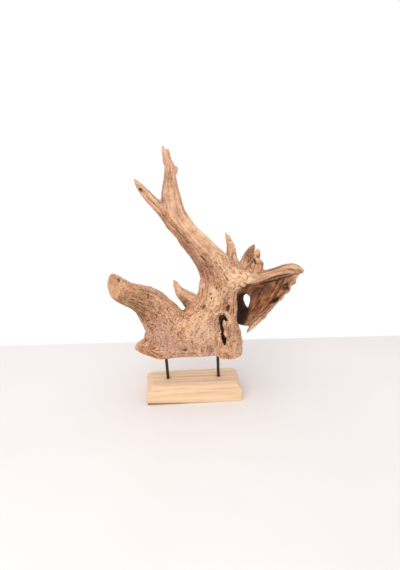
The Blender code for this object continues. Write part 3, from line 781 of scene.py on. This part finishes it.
def weathered_teak():
    """Weathered teak root, cleaned by sand-blasting.

    The blast eats the soft wood between the fibres, so the eye gets fine dark flecks and pits
    in a dry matt surface, rosy-grey where old skin is left and pale gold where it is gone.
    Painted shade darkens its hollows, cracks and holes, a painted highlight lies on its rises,
    and painted light and shade lie on the sides of some limbs.
    """
    material, tree, shader = new_material("weathered teak, sand-blasted")
    read = {}
    for name in ("streaks", "tones", "shades", "painted_shading_and_pits", "marks"):
        stored = add(
            tree, "Attribute", {}, "Vector", attribute_name=name, attribute_type="GEOMETRY"
        )
        read[name] = add(tree, "SeparateXYZ", {0: stored}).node.outputs
    broad, fine, dash = read["streaks"]
    rosy, orange, pale = read["tones"]
    olive, brown, dark = read["shades"]
    hollow, shelter, pits = read["painted_shading_and_pits"]
    crack, fresh, calm = read["marks"]
    place = add(tree, "TexCoord", {}, "Object")
    # Clouds of tone 26 mm wide, mottles of 9 mm, grit of 4 mm and specks of 1.6 mm.
    cloud, mottle, grit, speck = (
        add(tree, "TexNoise", {
            "Vector": place, "Scale": 1 / (size * MM), "Detail": detail, "Roughness": 0.6,
        })
        for size, detail in ((26, 5.0), (9, 3.0), (4, 2.0), (1.6, 3.0))
    )
    # The grit is weaker where the fibres lie straight and on the sawn faces.
    grit = add(tree, "Math", {0: grit, 1: 0.5}, operation="SUBTRACT")
    loud = add(tree, "Math", {0: calm, 1: -0.65, 2: 1.0}, operation="MULTIPLY_ADD")
    grit = add(tree, "Math", {0: grit, 1: loud}, operation="MULTIPLY")
    # The tone sums them all, about the middle of the ramps below.
    tone = -0.375
    for value, weight in (
        (broad, 0.10), (fine, 0.09), (dash, 0.06),
        (cloud, 0.45), (mottle, 0.55), (grit, 1.3), (speck, 0.8),
    ):
        tone = add(tree, "Math", {0: value, 1: weight, 2: tone}, operation="MULTIPLY_ADD")
    skins = [
        (None, [(0.15, "#8C5D43"), (0.40, "#B88767"), (0.60, "#CC9F7B"), (0.85, "#E1BA97")]),
        (pale, [(0.15, "#AE7E5C"), (0.45, "#D7A983"), (0.85, "#EDCCA8")]),
        (rosy, [(0.15, "#835C4E"), (0.45, "#AC816B"), (0.85, "#CAA08A")]),
        (olive, [(0.15, "#54351E"), (0.45, "#865D3A"), (0.85, "#B4875B")]),
        (orange, [(0.15, "#33190A"), (0.45, "#884C24"), (0.85, "#D8925A")]),
        (brown, [(0.15, "#573422"), (0.45, "#905F43"), (0.85, "#B98765")]),
        (fresh, [(0.15, "#A06F4B"), (0.45, "#BF9069"), (0.85, "#D2A982")]),
    ]
    colour = None
    for mask, stops in skins:
        skin = add(tree, "ValToRGB", {"Fac": tone}, stops=stops)
        colour = skin if mask is None else add(
            tree, "Mix", {"Factor": mask, 6: colour, 7: skin}, 2, data_type="RGBA"
        )
    # Washes over the skin: where each starts and is full, its strength and its colour. The hollow,
    # shelter, crack and dark washes are painted shade, and the raised one a painted highlight.
    grains = add(tree, "Math", {0: grit, 1: -1.0}, operation="MULTIPLY")
    raised = add(tree, "Math", {0: hollow, 1: -1.0}, operation="MULTIPLY")
    for value, start, full, strength, wash in (
        # Painted shade in the hollows of the surface.
        (hollow, 0.05, 0.9, 0.6, "#6B452F"),
        (grains, 0.05, 0.18, 0.45, "#76503A"),
        (pits, 0.0, 1.0, 0.4, "#70452C"),
        # A painted highlight on the rises of the surface.
        (raised, 0.1, 0.8, 0.28, "#E6C09A"),
        # Painted shade, deepening to near black, where the wood is shut in.
        (shelter, 0.25, 0.75, 0.8, "#4C2611"),
        (shelter, 0.50, 0.80, 0.95, "#1F120B"),
        # Painted shade inside the cracks and deeper dents.
        (crack, 0.0, 1.0, 0.85, "#3A2114"),
        # Painted shadow in the wing's hollow and other holes.
        (dark, 0.0, 1.0, 0.93, "#28150B"),
    ):
        mask = add(tree, "MapRange", {
            "Value": value, "From Min": start, "From Max": full, "To Max": strength,
        }, interpolation_type="SMOOTHSTEP")
        colour = add(tree, "Mix", {"Factor": mask, 6: colour, 7: wash}, 2, data_type="RGBA")
    tree.links.new(colour, shader.inputs["Base Color"])
    shader.inputs["Roughness"].default_value = 0.72
    shader.inputs["IOR"].default_value = 1.5

    height = add(tree, "Math", {0: dash, 1: 0.2}, operation="MULTIPLY")
    for value, weight in ((fine, 0.25), (grit, 2.2), (speck, 0.9)):
        height = add(tree, "Math", {0: value, 1: weight, 2: height}, operation="MULTIPLY_ADD")
    bump = add(tree, "Bump", {"Height": height, "Strength": 0.5, "Distance": 0.7 * MM}, "Normal")
    tree.links.new(bump, shader.inputs["Normal"])
    return material


def planed_teak():
    """Pale plantation teak, planed and oiled.

    The plane leaves flat faces with a low soft shine, so the eye gets thin straight lines of
    vessels along the block, a few darker than the rest, and a wedge of brown heartwood.
    """
    material, tree, shader = new_material("planed teak, oiled")
    place = add(tree, "TexCoord", {}, "Object")
    # Fine vessels 1 mm apart and 40 mm long, bands 8 mm wide that run the whole block, and
    # lines 3 mm wide and 110 mm long.
    fibres, bands, lines = (
        add(tree, "TexNoise", {
            "Vector": add(tree, "Mapping", {
                "Vector": place, "Scale": (1 / (long * MM), 1 / (wide * MM), 1 / (wide * MM)),
            }),
            "Scale": 1.0, "Detail": detail, "Roughness": rough,
        })
        for long, wide, detail, rough in (
            (40, 1, 3.0, 0.65), (200, 8, 3.0, 0.5), (110, 3, 1.0, 0.5),
        )
    )
    tone = add(tree, "Math", {0: fibres, 1: 0.4, 2: 0.0}, operation="MULTIPLY_ADD")
    tone = add(tree, "Math", {0: bands, 1: 0.6, 2: tone}, operation="MULTIPLY_ADD")
    front_stops = [(0.3, "#C89F79"), (0.5, "#E6C39E"), (0.7, "#F4D6B4")]
    colour = add(tree, "ValToRGB", {"Fac": tone}, stops=front_stops)
    # The chamfer and the level top get ramps of their own by the way they face, as painted shade a
    # little darker than the front.
    normal = add(tree, "NewGeometry", {}, "Normal")
    level = add(tree, "SeparateXYZ", {0: normal}, "Z")
    for start, full, stops in (
        (0.3, 0.5, [(0.25, "#C6A07C"), (0.5, "#DDB896"), (0.75, "#E6C5A3")]),
        (0.8, 0.95, [(0.3, "#C09A78"), (0.5, "#E2C09D"), (0.7, "#F2D6B4")]),
    ):
        face = add(tree, "ValToRGB", {"Fac": tone}, stops=stops)
        turned = add(tree, "MapRange", {"Value": level, "From Min": start, "From Max": full})
        colour = add(tree, "Mix", {"Factor": turned, 6: colour, 7: face}, 2, data_type="RGBA")
    dark_line = add(tree, "MapRange", {
        "Value": lines, "From Min": 0.66, "From Max": 0.74, "To Max": 0.42,
    })
    colour = add(tree, "Mix", {"Factor": dark_line, 6: colour, 7: "#8A6A50"}, 2, data_type="RGBA")
    # The heartwood wedge thins out from the block's left end along its lower front edge.
    across = add(tree, "SeparateXYZ", {0: place}).node.outputs
    wedge = add(tree, "Math", {0: across["X"], 1: 0.05, 2: across["Z"]}, operation="MULTIPLY_ADD")
    wedge = add(tree, "Math", {0: bands, 1: 0.004, 2: wedge}, operation="MULTIPLY_ADD")
    heart = add(tree, "MapRange", {
        "Value": wedge, "From Min": 0.002, "From Max": 0.004, "To Min": 0.8, "To Max": 0.0,
    })
    front = add(tree, "MapRange", {
        "Value": across["Y"], "From Min": -0.040, "From Max": -0.020, "To Min": 1.0, "To Max": 0.0,
    })
    heart = add(tree, "Math", {0: heart, 1: front}, operation="MULTIPLY")
    colour = add(tree, "Mix", {"Factor": heart, 6: colour, 7: "#7B4E30"}, 2, data_type="RGBA")
    # A thin grey-brown stain round the foot of each pin.
    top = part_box("base_block")[1][2]
    for x in PIN_FEET:
        gap = add(tree, "VectorMath", {0: place, 1: (x, 0.0, top)}, "Value", operation="DISTANCE")
        stain = add(tree, "MapRange", {
            "Value": gap, "From Min": 0.0045, "From Max": 0.009, "To Min": 0.4, "To Max": 0.0,
        })
        colour = add(tree, "Mix", {"Factor": stain, 6: colour, 7: "#6A5142"}, 2, data_type="RGBA")
    tree.links.new(colour, shader.inputs["Base Color"])
    shader.inputs["Roughness"].default_value = 0.5
    shader.inputs["IOR"].default_value = 1.5
    bump = add(tree, "Bump", {"Height": fibres, "Strength": 0.25, "Distance": 0.15 * MM}, "Normal")
    tree.links.new(bump, shader.inputs["Normal"])
    return material


def blackened_steel():
    """Steel rod, drawn and blackened in oil.

    The oil leaves a thin brown-black skin, so the eye gets a dark rod with one soft light
    line down its side and a breath of brown rust in blotches.
    """
    material, tree, shader = new_material("blackened steel rod, oiled")
    place = add(tree, "TexCoord", {}, "Object")
    # Blotches 3 mm wide.
    blotch = add(tree, "TexNoise", {"Vector": place, "Scale": 1 / (3 * MM), "Detail": 4.0})
    rust_stops = [(0.35, "#3A332F"), (0.6, "#4B413B"), (0.75, "#6A5042")]
    colour = add(tree, "ValToRGB", {"Fac": blotch}, stops=rust_stops)
    tree.links.new(colour, shader.inputs["Base Color"])
    shader.inputs["Metallic"].default_value = 0.85
    rough = add(tree, "Math", {0: blotch, 1: 0.3, 2: 0.3}, operation="MULTIPLY_ADD")
    tree.links.new(rough, shader.inputs["Roughness"])
    bump = add(tree, "Bump", {"Height": blotch, "Strength": 0.2, "Distance": 0.1 * MM}, "Normal")
    tree.links.new(bump, shader.inputs["Normal"])
    return material


def painted_board():
    """Board painted with matt emulsion by roller.

    The roller leaves an even, dull coat, so the eye gets a plain pale ground with soft shadows.
    """
    material, tree, shader = new_material("floor, matt rose-white paint")
    place = add(tree, "TexCoord", {}, "Object")
    # Clouds a third of a metre wide.
    cloud = add(tree, "TexNoise", {"Vector": place, "Scale": 1 / (330 * MM), "Detail": 2.0})
    tint = add(tree, "ValToRGB", {"Fac": cloud}, stops=[(0.3, "#DBD6D5"), (0.7, "#DFDAD9")])
    tree.links.new(tint, shader.inputs["Base Color"])
    shader.inputs["Roughness"].default_value = 0.9
    return material


# The studio.

# The floor's corners: its back edge slants a little, as the photographed table's does.
FLOOR_CORNERS = [(-2.5, -2.2, 0), (2.5, -2.2, 0), (2.5, 0.19, 0), (-2.5, 0.39, 0)]

# Square soft lamps: place, the point they face, size, watts and colour.
LAMPS = {
    "key": ((-0.8, -1.6, 1.3), (0.0, 0.0, 0.3), 1.3, 16, "#FFFAF5"),
    "top": ((-0.2, -0.3, 2.2), (0.0, 0.1, 0.0), 1.4, 8, "#FFFFFF"),
}


def add_floor():
    """A pale floor that ends behind the stand, against white."""
    mesh = bpy.data.meshes.new("floor")
    mesh.from_pydata(FLOOR_CORNERS, [], [tuple(range(len(FLOOR_CORNERS)))])
    mesh.materials.append(painted_board())
    board = bpy.data.objects.new("floor", mesh)
    bpy.context.scene.collection.objects.link(board)


def add_lights():
    """The lamps, and white all round."""
    for name, (place, aim, size, watts, colour) in LAMPS.items():
        data = bpy.data.lights.new(name, "AREA")
        data.shape = "SQUARE"
        data.size = size
        data.energy = watts
        data.color = linear(colour)[:3]
        lamp = bpy.data.objects.new(name, data)
        lamp.location = place
        lamp.rotation_euler = (Vector(aim) - Vector(place)).to_track_quat("-Z", "Y").to_euler()
        bpy.context.scene.collection.objects.link(lamp)
    world = bpy.data.worlds.new("white room")
    world.use_nodes = True
    ground = world.node_tree.nodes["Background"]
    ground.inputs["Color"].default_value = linear("#FFFFFF")
    ground.inputs["Strength"].default_value = 1.0
    bpy.context.scene.world = world
    bpy.context.scene.view_settings.view_transform = "Standard"


def add_camera():
    """The camera, turned and shifted as the photograph was taken."""
    data = bpy.data.cameras.new("camera")
    data.lens = CAMERA_LENS
    data.shift_x, data.shift_y = CAMERA_SHIFT
    camera = bpy.data.objects.new("camera", data)
    right_way, ahead = Vector(CAMERA_RIGHT).normalized(), Vector(CAMERA_AHEAD).normalized()
    back = -ahead
    axes = Matrix((right_way, back.cross(right_way), back)).transposed().to_4x4()
    roll = Matrix.Rotation(CAMERA_ROLL, 4, "Z")
    camera.matrix_world = Matrix.Translation(CAMERA_PLACE) @ axes @ roll
    bpy.context.scene.collection.objects.link(camera)
    bpy.context.scene.camera = camera


def dress(node, material):
    """Gives a node of the frame its finish."""
    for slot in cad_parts[node].material_slots:
        slot.material = material


add_floor()
add_lights()
add_camera()
root = weathered_root()
root.data.materials.clear()
root.data.materials.append(weathered_teak())
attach(root, "root")
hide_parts("teak_root")
dress("base_block", planed_teak())
steel = blackened_steel()
for pin in ("left_pin", "right_pin"):
    dress(pin, steel)
